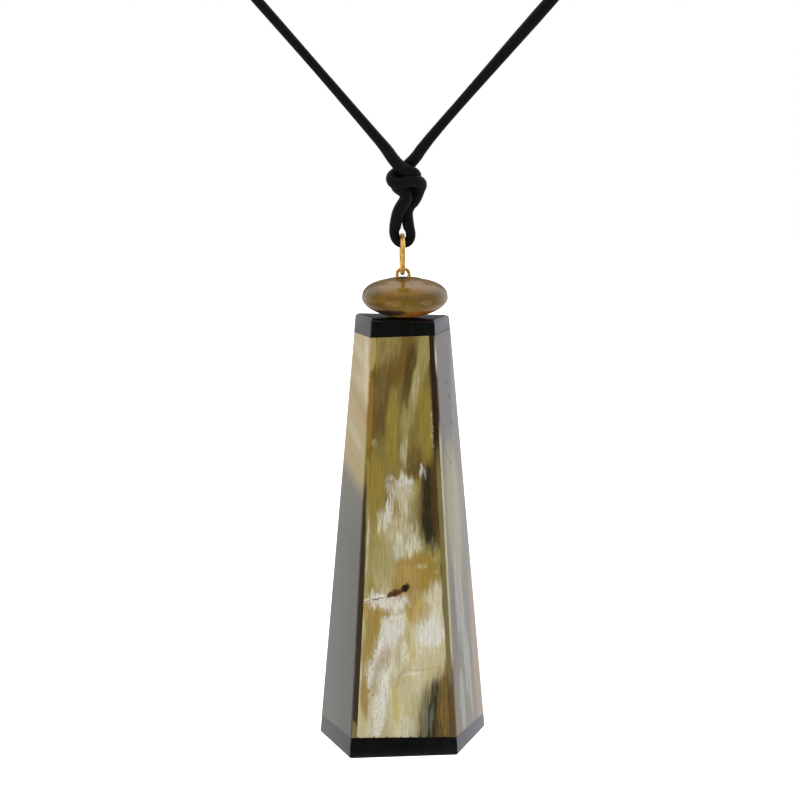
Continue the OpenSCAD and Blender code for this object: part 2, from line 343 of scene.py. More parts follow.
# the four horn plates: where each colour lies, in millimetres across and down from the body's top
frontSet = {
    "rough": 0.3, "light": 1.38, "glare": (0.004, 0.004, 0.004), "seed": 1.0, "fibre": (2.6, 0.05, 0.21),
    "bump": 0.00005,
    "ground": [(0, "#84733c"), (14, "#746633"), (30, "#7b6b30"), (40, "#87783c"), (56, "#93834a"),
        (66, "#a79869"), (82, "#b8ad84"), (97, "#a89d72")],
    "layers": [
        layer("#5a4820", 0.5, 0.6, "long", line(-4.8, 8, -5.0, 26, 4.2, 0.95),
            line(-1.5, 5, -2.6, 14, 1.8, 0.5), spot(3.4, 31, 2.2, 3, 0.6),
            line(-3.6, 35, -3.3, 44, 1.8, 0.6), line(3.2, 38, 3.9, 46, 1.8, 0.9),
            spot(2.2, 33.8, 2.0, 1.5, 0.7), line(1.4, 37, 2.4, 50, 2.6, 0.6), most=0.9),
        layer("#6b501c", 0.5, 0.5, "long", line(1.6, 2, 0.2, 14, 3.0, 1.0),
            line(-6.6, 10, -7.1, 30, 2.2, 1.1), line(-0.6, 8, -1.6, 15, 1.8, 0.6),
            spot(-3.6, 11, 3.4, 3.0, 0.7), most=0.85),
        layer("#4c390f", 0.5, 0.6, "long", line(2.6, 5, 1.2, 14, 2.2, 0.9),
            line(1.3, 11, -0.2, 20, 1.5, 0.8), most=0.75),
        layer("#9a8e52", 0.5, 0.6, "long", line(5.0, 1, 4.0, 12, 2.6), line(4.2, 8, 1.2, 24, 2.6, 0.9),
            line(-1.8, 15, -2.6, 30, 2.2, 0.6), line(0.2, 18, 0.4, 32, 1.8, 0.7), most=0.8),
        layer("#a08e52", 0.5, 1.5, "long", spot(-4.2, 6.0, 3.6, 4.2, 0.55), spot(-5.4, 14, 2.0, 6.0, 0.3),
            most=0.6),
        layer("#8d7828", 0.5, 0.5, "long", line(4.4, 13, 5.4, 33, 3.0), line(-2.1, 15, -2.7, 35, 3.0, 0.9),
            spot(-6.7, 36, 2.6, 7, 0.9), line(-6.2, 43, -4.4, 55, 2.4, 0.8),
            line(-6.4, 61, -9.0, 88, 3.8, 1.2), line(-8.6, 74, -8.6, 94, 3.4, 1.1),
            line(9.2, 74, 9.8, 84, 1.4), line(-1.4, 40, -1.0, 56, 2.4, 0.7), spot(4.6, 46, 1.6, 9, 0.6),
            line(-6.4, 50, -7.0, 66, 2.8, 0.6), most=0.8),
        layer("#a2964c", 0.5, 0.3, "long", spot(4.6, 52.8, 4.4, 2.2, 0.9),
            line(-0.4, 36, 2.0, 52, 2.4, 0.5), most=0.8),
        layer("#94792a", 0.5, 0.3, "short", spot(2.8, 57.4, 4.8, 3.8, 1.1), spot(-0.6, 60.0, 4.0, 2.4, 0.7),
            line(3.4, 54.2, 8.8, 58.0, 2.8, 1.1), spot(7.0, 59.6, 2.2, 2.2, 0.6), most=0.9),
        layer("#a48747", 0.5, 0.4, "long", spot(1.0, 57.8, 2.8, 2.8, 0.8), line(2.9, 60, 2.0, 70, 3.2, 0.8),
            most=0.7),
        layer("#a06c20", 0.5, 0.4, "short", spot(2.2, 66.2, 1.6, 2.8, 0.9), most=0.8),
        layer("#a88a48", 0.5, 0.4, "short", spot(5.9, 83, 2.7, 1.8), spot(-8.5, 66, 2.4, 2.4, 0.9),
            spot(0.7, 57.0, 2.0, 1.8, 0.6), most=0.9),
        layer("#b9ae82", 0.5, 0.6, "long", spot(6.4, 77.0, 4.2, 6.4, 1.1),
            line(-1.8, 86, -1.6, 99, 3.8, 0.8), spot(-9.9, 70, 1.4, 4.2, 0.7),
            spot(5.0, 50.8, 2.4, 1.6, 0.7), spot(7.2, 65.6, 2.7, 5.0), spot(-9.7, 95, 2.4, 5, 0.7),
            spot(-4.6, 57, 3.0, 5.4, 0.5), spot(0.4, 39, 2.6, 4.0, 0.4), spot(-0.6, 80, 4.4, 7.0, 0.6),
            spot(4.0, 82, 2.4, 4.0, 0.6), spot(-2.4, 48.0, 4.0, 4.0, 0.5),
            line(-8.8, 36, -9.0, 58, 2.2, 0.9), line(-10.0, 72, -10.8, 96, 1.6, 0.9)),
        layer("#b8a95f", 0.5, 0.5, "long", line(1.5, 65, 1.8, 82, 2.6, 0.6), spot(4.0, 66, 1.6, 3.0, 0.7),
            line(-2.6, 82, -0.8, 95, 2.0, 0.6), most=0.9),
        layer("#c8c4ae", 0.5, 1.2, "long", spot(0.2, 38.6, 2.4, 4.6, 0.42),
            line(-2.6, 38, -4.0, 48, 1.9, 0.6), spot(-4.9, 45, 1.0, 3.0, 0.6),
            spot(0.6, 48.6, 3.6, 5.8, 0.4), spot(2.4, 51.0, 1.7, 2.6, 0.45),
            spot(-8.4, 47.5, 0.9, 3.4, 0.45), line(3.3, 11, 2.3, 19, 1.6, 0.32),
            spot(0.2, 29.4, 0.9, 3.0, 0.45), spot(7.4, 65, 2.2, 6.0, 0.5),
            line(-0.6, 67, -1.2, 82, 2.6, 0.4), spot(0.3, 94.4, 2.2, 3.2, 0.6),
            line(-2.4, 74, -6.0, 94, 3.6, 0.65), spot(5.4, 71, 3.8, 5.0, 0.5),
            line(-3.0, 60, -5.4, 66, 3.0, 0.35), line(3.0, 76, 3.4, 86, 3.2, 0.4),
            spot(-2.0, 51.5, 2.4, 3.0, 0.4), line(-7.2, 86, -8.6, 97, 1.6, 0.4), most=0.85),
        layer("#cfccc0", 0.5, 1.1, "short", spot(-3.2, 64.4, 4.6, 1.7, 0.85),
            spot(-6.2, 62.5, 1.8, 0.9, 0.65), spot(-2.1, 69.8, 2.7, 3.4, 0.9),
            spot(-4.4, 73.8, 2.4, 2.8, 0.8), spot(6.2, 71.6, 3.0, 3.4, 1.0),
            line(-5.8, 73, -7.2, 84, 2.8, 0.65), spot(-8.0, 81, 1.1, 3.4, 0.62),
            spot(0.4, 76.4, 1.1, 2.6, 0.5), line(-3.6, 78, -6.9, 100, 3.0, 0.65),
            spot(4.4, 34.6, 0.9, 1.4, 0.8), spot(0.2, 36.2, 2.2, 1.3, 0.55),
            spot(-3.2, 37.0, 1.0, 2.0, 0.4), spot(-3.0, 43, 1.0, 2.6, 0.5), most=0.9),
        layer("#968a50", 0.5, 0.8, "long", line(2.3, 36, 2.7, 45, 2.2, 0.8),
            spot(-4.8, 53.0, 2.8, 4.6, 0.9), line(-3.2, 57, -0.6, 61.4, 3.0, 0.6),
            line(-1.4, 74, -1.0, 80, 1.6, 0.5), most=0.7),
        layer("#967b30", 0.5, 0.8, "long", line(-5.4, 66.2, -8.0, 80, 2.2, 0.9),
            line(-8.7, 80, -9.0, 92, 1.8, 0.7), spot(4.8, 66.2, 1.6, 2.0, 0.5),
            spot(-5.0, 66.3, 2.4, 1.3, 0.8), line(3.4, 50.8, 7.4, 52.8, 1.4, 0.6), most=0.8),
        layer("#dad7cc", 0.5, 2.0, "short", line(-4.9, 72, -6.9, 92, 4.4, 0.38),
            spot(0.2, 38, 2.2, 3.6, 0.25), spot(5.2, 74, 3.4, 4.0, 0.28), most=0.75),
        layer("#98815c", 0.5, 1.3, "short", line(-3.4, 74.4, -5.6, 81, 2.8, 0.7),
            spot(-6.2, 83, 1.4, 3.0, 0.5), spot(-1.8, 82.5, 1.1, 2.2, 0.4), most=0.75),
        layer("#5f562a", 0.5, 0.6, "long", line(4.4, 35, 4.9, 53, 2.6, 0.8),
            line(6.6, 82, 3.4, 104, 4.0, 0.8), most=0.8),
        layer("#302a11", 0.5, 0.5, "long", line(5.7, 32, 6.2, 52, 3.3, 1.1),
            line(9.4, 82, 5.6, 108, 7.4, 1.05)),
        layer("#4e3814", 0.5, 0.5, "long", line(6.9, 27, 7.9, 52, 2.6, 1.0),
            line(5.9, 3, 7.0, 30, 0.8, 0.8), line(8.9, 53, 9.5, 68, 1.2, 1.0), most=0.9),
        layer("#5c481c", 0.5, 1.2, "long", line(10.8, 79, 8.6, 106, 4.4, 1.0)),
        layer("#8a6f2c", 0.5, 1.6, "long", line(9.6, 78, 9.4, 98, 3.0, 0.5), most=0.7),
        layer("#82836a", 0.5, 0.7, "long", line(5.2, 87, 4.6, 98, 1.4, 0.9),
            line(6.6, 89, 6.2, 96, 1.0, 0.7), most=0.5)],
    # the flaw, its crack, the hairline below, and small chips
    "marks": [
        layer("#d2cfbe", 0.45, 0.6, "short", line(-2.9, 62.4, -9.6, 64.1, 1.1, 1.0),
            line(-0.6, 81.6, 4.2, 80.9, 0.8, 0.6), most=0.8),
        layer("#7d7358", 0.45, 0.6, "short", line(-9.4, 64.2, -3.0, 62.6, 0.3, 0.9)),
        layer("#94805e", 0.5, 0.6, "short", line(-1.4, 82.4, 0.4, 80.2, 0.34, 0.9),
            line(0.2, 80.3, 4.2, 80.2, 0.3, 0.8), line(4.0, 80.4, 8.4, 79.6, 0.3, 0.8), most=0.6),
        layer("#5c3413", 0.35, 0.6, "short", line(-3.6, 62.8, -0.4, 61.4, 1.7)),
        layer("#28110a", 0.4, 0.7, "short", line(-0.5, 61.4, 1.3, 60.1, 1.7),
            line(-2.8, 62.6, -1.4, 62.0, 0.5, 0.8)),
        layer("#c4bea4", 0.5, 1.6, "short", line(6.0, 17.5, 6.6, 29.5, 0.5, 0.42),
            spot(-6.8, 27.2, 0.9, 0.9, 0.4), line(8.9, 66, 9.3, 80, 0.35, 0.3),
            spot(4.0, 55.8, 1.3, 0.7, 0.45), spot(7.6, 57.0, 0.6, 0.4, 0.4), most=0.7)]}

backSet = {
    "rough": 0.3, "light": 1.2, "glare": (0.004, 0.004, 0.004), "seed": 5.0, "fibre": (2.6, 0.05, 0.2),
    "bump": 0.00005,
    "ground": [(0, "#7b6b38"), (30, "#84743c"), (60, "#98895a"), (97, "#9b8d60")],
    "layers": [
        layer("#5a4820", 0.5, 0.5, "long", line(5, 4, 7, 46, 4.4), line(-9, 52, -12, 92, 4.6),
            line(12, 70, 15, 99, 5.0), line(-3, 2, -4, 20, 2.4, 0.7), most=0.9),
        layer("#8c7230", 0.5, 0.5, "long", line(-5, 10, -6, 40, 4.2, 0.9), line(6, 50, 9, 82, 4.6, 0.9),
            line(-4, 74, -5, 99, 4.4, 0.8), line(1, 30, 1, 60, 2.6, 0.6), most=0.9),
        layer("#a39a62", 0.5, 0.6, "long", line(1, 4, 0, 34, 3.0), line(-8, 30, -10, 60, 3.2, 0.8),
            line(2, 60, 3, 98, 3.6, 0.9), line(13, 40, 16, 74, 2.6, 0.7), most=0.9),
        layer("#c6c2ac", 0.5, 1.2, "long", line(-1, 34, -3, 60, 3.4, 0.6), line(1, 72, -1, 96, 4.2, 0.55),
            line(-12, 44, -14, 66, 2.4, 0.5), line(8, 78, 9, 97, 2.2, 0.5), line(4, 52, 4, 68, 2.0, 0.5),
            most=0.8)]}

leftSet = {
    "rough": 0.15, "light": 1.25, "glare": (0.115, 0.115, 0.115), "seed": 3.0, "fibre": (1.6, 0.05, 0.06),
    "bump": 0.00002, "side": -1.12, "tilt": 0.45,
    "ground": [(0, "#b7a988"), (34, "#aa9b78"), (38.5, "#7f7c74"), (50, "#777570"), (97, "#757471")],
    "layers": [
        layer("#a2906a", 0.5, 0.6, "long", line(-6, 14, 7, 23, 2.6, 0.7), line(-5, 29, 4, 34, 1.6, 0.5),
            line(-6, 8, 2, 12, 1.2, 0.5), most=0.6),
        layer("#ab8a5e", 0.5, 0.5, "short", spot(5.8, 18, 1.8, 7.0, 0.7), line(-6, 17, 6, 24, 1.6, 0.4),
            most=0.5),
        layer("#c9bea2", 0.5, 0.6, "long", line(-5, 5, 5, 11, 2.4, 0.6), line(-2, 13, 5, 17, 2.2, 0.6),
            line(-4, 24, 5, 30, 3.0, 0.6), line(0, 8, 3.4, 16, 1.6, 0.5), most=0.5),
        layer("#cfc6ac", 0.5, 0.8, "long", line(2.4, 4, 4.6, 19, 2.2, 0.9), most=0.6)],
    "strip": [(3, 11, "#a3905a"), (12, 30, "#86692f"), (31, 38, "#8f7a3c"), (34, 122, "#3c3126"),
        (93, 98, "#746a44")],
    "stripWide": 1.5, "edges": [],
    "inner": [(0, "#8a7a40"), (12, "#6b531f"), (28, "#70591f"), (36, "#8a7630"), (46, "#a0965f"),
        (58, "#a59a62"), (66, "#b3a678"), (76, "#8f7838"), (97, "#9a906c")]}

rightSet = {
    "rough": 0.15, "light": 1.35, "glare": (0.215, 0.222, 0.24), "seed": 4.0, "fibre": (1.6, 0.05, 0.07),
    "bump": 0.00002, "side": 1.12, "tilt": 0,
    "ground": [(0, "#959192"), (28, "#969291"), (42, "#a2a095"), (60, "#9c9993"), (97, "#9f9a93")],
    "layers": [
        layer("#b6b39c", 0.5, 0.6, "long", spot(-1.4, 45, 3.4, 17, 1.0), most=0.9),
        layer("#989394", 0.5, 0.4, "long", spot(5.8, 50, 1.8, 12, 0.8)),
        layer("#b5a597", 0.5, 0.4, "long", spot(6.4, 82, 2.8, 28)),
        layer("#c3c1bc", 0.5, 0.7, "long", line(-2.8, 54, -2.7, 76, 2.0, 0.8),
            line(-0.6, 58, -0.4, 90, 2.4, 0.8), line(1.2, 74, 1.5, 97, 1.6, 0.8),
            spot(-3.6, 90, 1.3, 8, 0.9), most=0.65),
        layer("#8f8b89", 0.5, 0.6, "long", line(-4.8, 62, -5.0, 84, 1.4, 0.7),
            line(2.6, 70, 2.8, 90, 1.2, 0.6), most=0.6),
        layer("#645a59", 0.45, 0.8, "short", spot(-0.6, 15, 0.7, 0.5, 1.1), spot(0.5, 18, 0.6, 0.6, 1.1),
            spot(2.0, 20.5, 0.7, 0.6, 1.1), spot(0.5, 24, 0.8, 0.6, 1.1), spot(2.0, 25, 0.7, 0.6, 1.1),
            spot(-1.0, 33, 0.6, 0.4, 0.7), spot(-2.4, 73.4, 0.5, 0.5, 0.7), most=0.8)],
    "strip": [(3, 30, "#31271a"), (31, 84, "#756b45"), (85, 98, "#5d4a29")],
    "stripWide": 4.0, "inner": [(0, "#4a3c22"), (97, "#4a3c22")],
    # each of these edges is a painted highlight: a pale line along the corner, standing in for light on its
    # rounded edge
    "edges": [(3, 8, "#c9c6bf"), (22, 76, "#b9b290")]}

bodyTop = -169.82  # height of the body's top, in millimetres

# what the plates share: how the fibres run, how a colour's edge is torn, and where the front ends
hornSet = {
    "ior": 1.54, "bumpStrength": 0.6,
    "drift": 0.01034,  # how far a side plate's middle moves forward for each millimetre down
    "slantFrom": -12, "slantTo": 24, "slant": 5,
    "grains": {"long": (3.0, 0.09, 20), "short": (2.8, 0.35, 40)},  # fine, long, added to the seed
    "coarse": (0.9, 1.0, 0.12), "tear": (1.6, 0.0, 8.0), "sideTear": (1.0, 0.0, 3.0), "ragged": 0.6,
    "crumble": {"scale": 0.9, "detail": 3.0, "rough": 0.6}, "crumbleTear": (1.1, 0.0, 1.6),
    "hairFine": 2.4, "hairLong": 1.6, "hairSeed": 9, "hairShare": 0.8,
    "frontHalf": 6.85, "frontGrow": 0.0547,  # half the front's width at the top, and its growth downwards
    "stripFrom": 0.12, "stripTo": 0.35, "stripSoft": 0.3, "stripBite": 0.2, "stripLap": 0.5,
    "stripAmount": 1.1,
    # where the painted corner highlight lies, how wide it is, and how it fades in and out along the corner
    "highlightInset": 0.1, "highlightHalf": 0.12, "highlightGone": 0.3, "highlightIn": 6, "highlightOut": 5,
    "joint": 96.75, "nickRate": (1.3, 1.0, 0.0), "nickNoise": {"scale": 1.0, "detail": 3.0, "rough": 0.7},
    "nickFrom": 0.42, "nickTo": 0.7, "nickHeight": 0.7, "nickColour": "#0c0b0a"}


def paintStrip(tree, c, g, wide, down, grains, colour):
    # the narrow front edge of a side plate has colours of its own, lit as the front plate is
    corner = maths(tree, "MULTIPLY_ADD", down, g["frontGrow"], g["frontHalf"])
    inset = maths(tree, "SUBTRACT", corner, maths(tree, "ABSOLUTE", wide))
    strips = [layer(code, g["stripSoft"], g["stripBite"], "long",
        spot(0.0, (a + b) / 2, c["stripWide"], (b - a) / 2 + g["stripLap"], g["stripAmount"]))
        for a, b, code in c["strip"]]
    inner = groundRamp(tree, down, c["inner"], frontSet)
    edge = paintLayers(tree, onFace(tree, inset, down), grains, inner, strips, frontSet)
    colour = blendColour(tree, spread(tree, inset, g["stripFrom"], g["stripTo"], 0, 1, True), colour, edge)
    for begin, end, code in c["edges"]:
        # a painted highlight: a pale line along the very corner, standing in for light on its rounded edge
        off = maths(tree, "ABSOLUTE", maths(tree, "SUBTRACT", inset, g["highlightInset"]))
        rim = spread(tree, off, g["highlightHalf"], g["highlightGone"], 1, 0, True)
        fade = maths(tree, "MULTIPLY", spread(tree, down, begin, begin + g["highlightIn"], 0, 1),
            spread(tree, down, end, end + g["highlightOut"], 1, 0))
        colour = blendColour(tree, maths(tree, "MULTIPLY", rim, fade), colour, ownColour(code, frontSet))
    return colour


def paintNicks(tree, g, grainPlace, down, colour):
    # small nicks along the joint above the base cap, through which its black shows
    grain = noise(tree, vectors(tree, "MULTIPLY", grainPlace, g["nickRate"]), **g["nickNoise"]).outputs[0]
    nick = spread(tree, grain, g["nickFrom"], g["nickTo"], 0, g["nickHeight"])
    below = maths(tree, "GREATER_THAN", down, maths(tree, "SUBTRACT", g["joint"], nick))
    return blendColour(tree, below, colour, tone(g["nickColour"]))


def shadeFibres(tree, c, g, grainPlace, colour):
    # fine and finer streaks darken and lighten the colour; the fine ones are given back for the bump
    fine, long, depth = c["fibre"]
    hairDepth = g["hairShare"] * depth
    fibre = fibreOf(tree, grainPlace, fine, long, c["seed"])
    hair = fibreOf(tree, grainPlace, fine * g["hairFine"], long * g["hairLong"], c["seed"] + g["hairSeed"])
    shade = maths(tree, "ADD", spread(tree, fibre["Value"], 0, 1, 1 - depth, 1 + depth),
        spread(tree, hair["Value"], 0, 1, -hairDepth, hairDepth))
    return blendColour(tree, 1.0, colour, shade, "MULTIPLY"), fibre["Height"]


def makeHorn(name, c, g):
    material, tree, shader = newMaterial(name, Roughness=c["rough"], IOR=g["ior"])
    wide, deep, down = axes(tree, hornPlace(tree, bodyTop))
    across = wide
    if "side" in c:
        # a side plate is read across its depth, and its middle drifts forward on the way down
        across = maths(tree, "MULTIPLY", maths(tree, "MULTIPLY_ADD", down, g["drift"], deep), c["side"])
    # the fibres slant near the top and run straight below
    slant = spread(tree, down, g["slantFrom"], g["slantTo"], 0, g["slant"], True)
    grainPlace = onFace(tree, maths(tree, "ADD", across, slant), down)
    grains = {kind: grainOf(tree, grainPlace, fine, long, c["seed"] + later)
        for kind, (fine, long, later) in g["grains"].items()}
    coarse = noise(tree, vectors(tree, "MULTIPLY", grainPlace, g["coarse"]), 1.0)
    tear = pushes(tree, coarse, g["sideTear"] if "side" in c else g["tear"])
    flat = onFace(tree, across, down)
    level = down
    if "tilt" in c:
        # the plate changes colour along a slanting, ragged line
        ragged = maths(tree, "MULTIPLY", axes(tree, tear)[2], g["ragged"])
        level = maths(tree, "ADD", maths(tree, "MULTIPLY_ADD", across, -c["tilt"], down), ragged)
    ground = groundRamp(tree, level, c["ground"], c)
    colour = paintLayers(tree, vectors(tree, "ADD", flat, tear), grains, ground, c["layers"], c)
    if "marks" in c:
        crumble = pushes(tree, noise(tree, flat, **g["crumble"]), g["crumbleTear"])
        colour = paintLayers(tree, vectors(tree, "ADD", flat, crumble), grains, colour, c["marks"], c)
    if "strip" in c:
        colour = paintStrip(tree, c, g, wide, down, grains, colour)
    colour, height = shadeFibres(tree, c, g, grainPlace, colour)
    if "marks" in c:
        colour = paintNicks(tree, g, grainPlace, down, colour)
    tree.links.new(colour, shader.inputs["Base Color"])
    bumpTo(tree, shader, height, c["bump"], g["bumpStrength"])
    return material


blackSet = {"ior": 1.54, "fibre": (1.2, 0.15, 7.0), "dark": "#060606", "pale": "#0f0e0d",
    "rough": (0.1, 0.17), "bump": 0.00002, "bumpStrength": 0.4}


def makeBlackHorn(c):
    material, tree, shader = newMaterial("blackHorn", IOR=c["ior"])
    fibre = fibreOf(tree, hornPlace(tree, bodyTop), *c["fibre"])
    colour = blendColour(tree, fibre["Value"], tone(c["dark"]), tone(c["pale"]))
    tree.links.new(colour, shader.inputs["Base Color"])
    tree.links.new(spread(tree, fibre["Value"], 0, 1, *c["rough"]), shader.inputs["Roughness"])
    bumpTo(tree, shader, fibre["Height"], c["bump"], c["bumpStrength"])
    return material


# the bead's colours, with its painted edge reflections and highlights, lie in millimetres across and down
# from its top
beadHornSet = {
    "top": -161.5, "rough": 0.17, "ior": 1.3, "light": 1.55, "glare": (0.01, 0.01, 0.01), "bump": 0.00002,
    "bumpStrength": 0.4, "fibre": (0.9, 0.5, 11.0), "shade": 0.1, "dark": "#694e22", "pale": "#7a6234",
    "swirl": {"scale": 0.16, "detail": 3.0, "rough": 0.55, "Distortion": 0.8}, "swirlBend": (3.0, 0.0, 1.2),
    "swirlDark": 0.32, "swirlPale": 0.68,
    "layers": [
        layer("#a07a34", 0.5, 0.2, "short", spot(1.0, 0.9, 7.0, 1.2, 0.9), spot(-2.5, 3.2, 3.0, 1.2, 0.4),
            most=0.8),
        # painted reflection: the left and right edges paler and greyer, where the bead mirrors the bright
        # sides
        layer("#7b6644", 0.5, 0.2, "short", spot(-7.6, 4.0, 1.8, 3.0, 0.9), spot(8.0, 4.0, 1.8, 3.0, 0.9),
            most=0.7),
        layer("#5c4413", 0.5, 0.3, "short", line(-8.4, 4.9, -2.0, 6.4, 2.8, 1.0), most=0.8),
        layer("#7c4a12", 0.5, 0.3, "short", spot(3.6, 6.9, 3.6, 1.4)),
        layer("#2a1405", 0.5, 0.4, "short", line(-6.4, 6.7, 0.6, 5.9, 1.7, 1.1), most=0.95),
        # painted highlights: two small soft lamp reflections on the front, either side of the middle
        layer("#93805a", 0.5, 0.3, "short", spot(-1.8, 3.7, 1.7, 0.7, 0.5), spot(5.2, 3.6, 1.2, 0.7, 0.6),
            most=0.7)]}


def makeBeadHorn(c):
    material, tree, shader = newMaterial("beadHorn", Roughness=c["rough"], IOR=c["ior"])
    place = hornPlace(tree, c["top"])
    split = axes(tree, place)
    swirl = noise(tree, place, **c["swirl"])
    bent = vectors(tree, "ADD", onFace(tree, split[0], split[2]), pushes(tree, swirl, c["swirlBend"]))
    fibre = fibreOf(tree, place, *c["fibre"])
    grains = {"short": maths(tree, "SUBTRACT", fibre["Value"], 0.5)}
    cloud = spread(tree, swirl.outputs[0], c["swirlDark"], c["swirlPale"], 0, 1)
    colour = blendColour(tree, cloud, ownColour(c["dark"], c), ownColour(c["pale"], c))
    colour = paintLayers(tree, bent, grains, colour, c["layers"], c)
    shade = spread(tree, fibre["Value"], 0, 1, 1 - c["shade"], 1 + c["shade"])
    tree.links.new(blendColour(tree, 1.0, colour, shade, "MULTIPLY"), shader.inputs["Base Color"])
    bumpTo(tree, shader, fibre["Height"], c["bump"], c["bumpStrength"])
    return material


giltSet = {"metal": 0.75, "grain": {"scale": 1400.0, "detail": 3.0}, "dark": "#e2ab45", "pale": "#f6d078",
    "rough": (0.22, 0.34), "bump": 0.00001, "bumpStrength": 0.3}


def makeGilt(c):
    material, tree, shader = newMaterial("gilt", Metallic=c["metal"])
    grain = noise(tree, objectPlace(tree), **c["grain"]).outputs[0]
    colour = blendColour(tree, grain, tone(c["dark"]), tone(c["pale"]))
    tree.links.new(colour, shader.inputs["Base Color"])
    tree.links.new(spread(tree, grain, 0, 1, *c["rough"]), shader.inputs["Roughness"])
    bumpTo(tree, shader, grain, c["bump"], c["bumpStrength"])
    return material


satinSet = {"rough": 0.65, "sheen": 0.14, "rib": 0.00042, "ribHeight": 0.25,
    "nap": {"scale": 2600.0, "detail": 4.0, "rough": 0.7}, "dark": "#040405", "pale": "#101011",
    "bump": 0.00005, "bumpStrength": 0.7}


def makeCordBlack(c):
    # satin cord: fine ribs run round it, a little aslant, under a short soft nap
    material, tree, shader = newMaterial("satinCord", Roughness=c["rough"], Specular_IOR_Level=c["sheen"])
    along = addNode(tree, "ShaderNodeAttribute", attribute_name="along").outputs["Fac"]
    around = addNode(tree, "ShaderNodeAttribute", attribute_name="around").outputs["Vector"]
    split = axes(tree, around)
    angle = maths(tree, "ARCTAN2", split[1], split[0])
    ribs = maths(tree, "SINE", maths(tree, "MULTIPLY_ADD", along, 2 * math.pi / c["rib"], angle))
    nap = noise(tree, objectPlace(tree), **c["nap"]).outputs[0]
    colour = blendColour(tree, nap, tone(c["dark"]), tone(c["pale"]))
    tree.links.new(colour, shader.inputs["Base Color"])
    height = maths(tree, "MULTIPLY_ADD", ribs, c["ribHeight"], nap)
    bumpTo(tree, shader, height, c["bump"], c["bumpStrength"])
    return material


plateSets = {"front": frontSet, "back": backSet, "left": leftSet, "right": rightSet}
materials = {side: makeHorn("horn" + side.capitalize(), c, hornSet) for side, c in plateSets.items()}
materials.update(black=makeBlackHorn(blackSet), bead=makeBeadHorn(beadHornSet), gilt=makeGilt(giltSet),
    cord=makeCordBlack(satinSet))
print("materials made")


def makeRopeTree():
    # a round tube along a curve, swelling with the curve's radius
    tree, takes, gives = newGroup("ropeAlongLine", "GeometryNodeTree",
        [("Line", "Geometry", None), ("Thickness", "Float", 0.002), ("Sides", "Int", 16),
            ("Finish", "Material", None)],
        [("Mesh", "Geometry")])
    run = addNode(tree, "GeometryNodeSplineParameter")
    marked = addNode(tree, "GeometryNodeStoreNamedAttribute", {"Geometry": takes["Line"], "Name": "along",
        "Value": run.outputs["Length"]}, data_type="FLOAT", domain="POINT")
    half = maths(tree, "MULTIPLY", takes["Thickness"], 0.5)
    ring = addNode(tree, "GeometryNodeCurvePrimitiveCircle", {"Resolution": takes["Sides"],
        "Radius": half}, mode="RADIUS")
    position = addNode(tree, "GeometryNodeInputPosition")
    turned = addNode(tree, "GeometryNodeStoreNamedAttribute", {"Geometry": ring.outputs[0],
        "Name": "around", "Value": position.outputs[0]}, data_type="FLOAT_VECTOR", domain="POINT")
    swell = addNode(tree, "GeometryNodeInputRadius")
    tube = addNode(tree, "GeometryNodeCurveToMesh", {"Curve": marked.outputs[0],
        "Profile Curve": turned.outputs[0], "Scale": swell.outputs[0], "Fill Caps": True})
    smooth = addNode(tree, "GeometryNodeSetShadeSmooth", {"Geometry": tube.outputs[0]})
    real = addNode(tree, "GeometryNodeRealizeInstances", {"Geometry": smooth.outputs[0]})
    finish = addNode(tree, "GeometryNodeSetMaterial", {"Geometry": real.outputs[0],
        "Material": takes["Finish"]})
    tree.links.new(finish.outputs[0], gives["Mesh"])
    return tree


ropeTree = makeRopeTree()


def makeRope(name, route, thick, sides, material, swell=None):
    values = {"Thickness": thick * mm, "Sides": sides, "Finish": materials[material]}
    return runTree(name, routeCurve(name + "Route", route, swell), ropeTree, values)


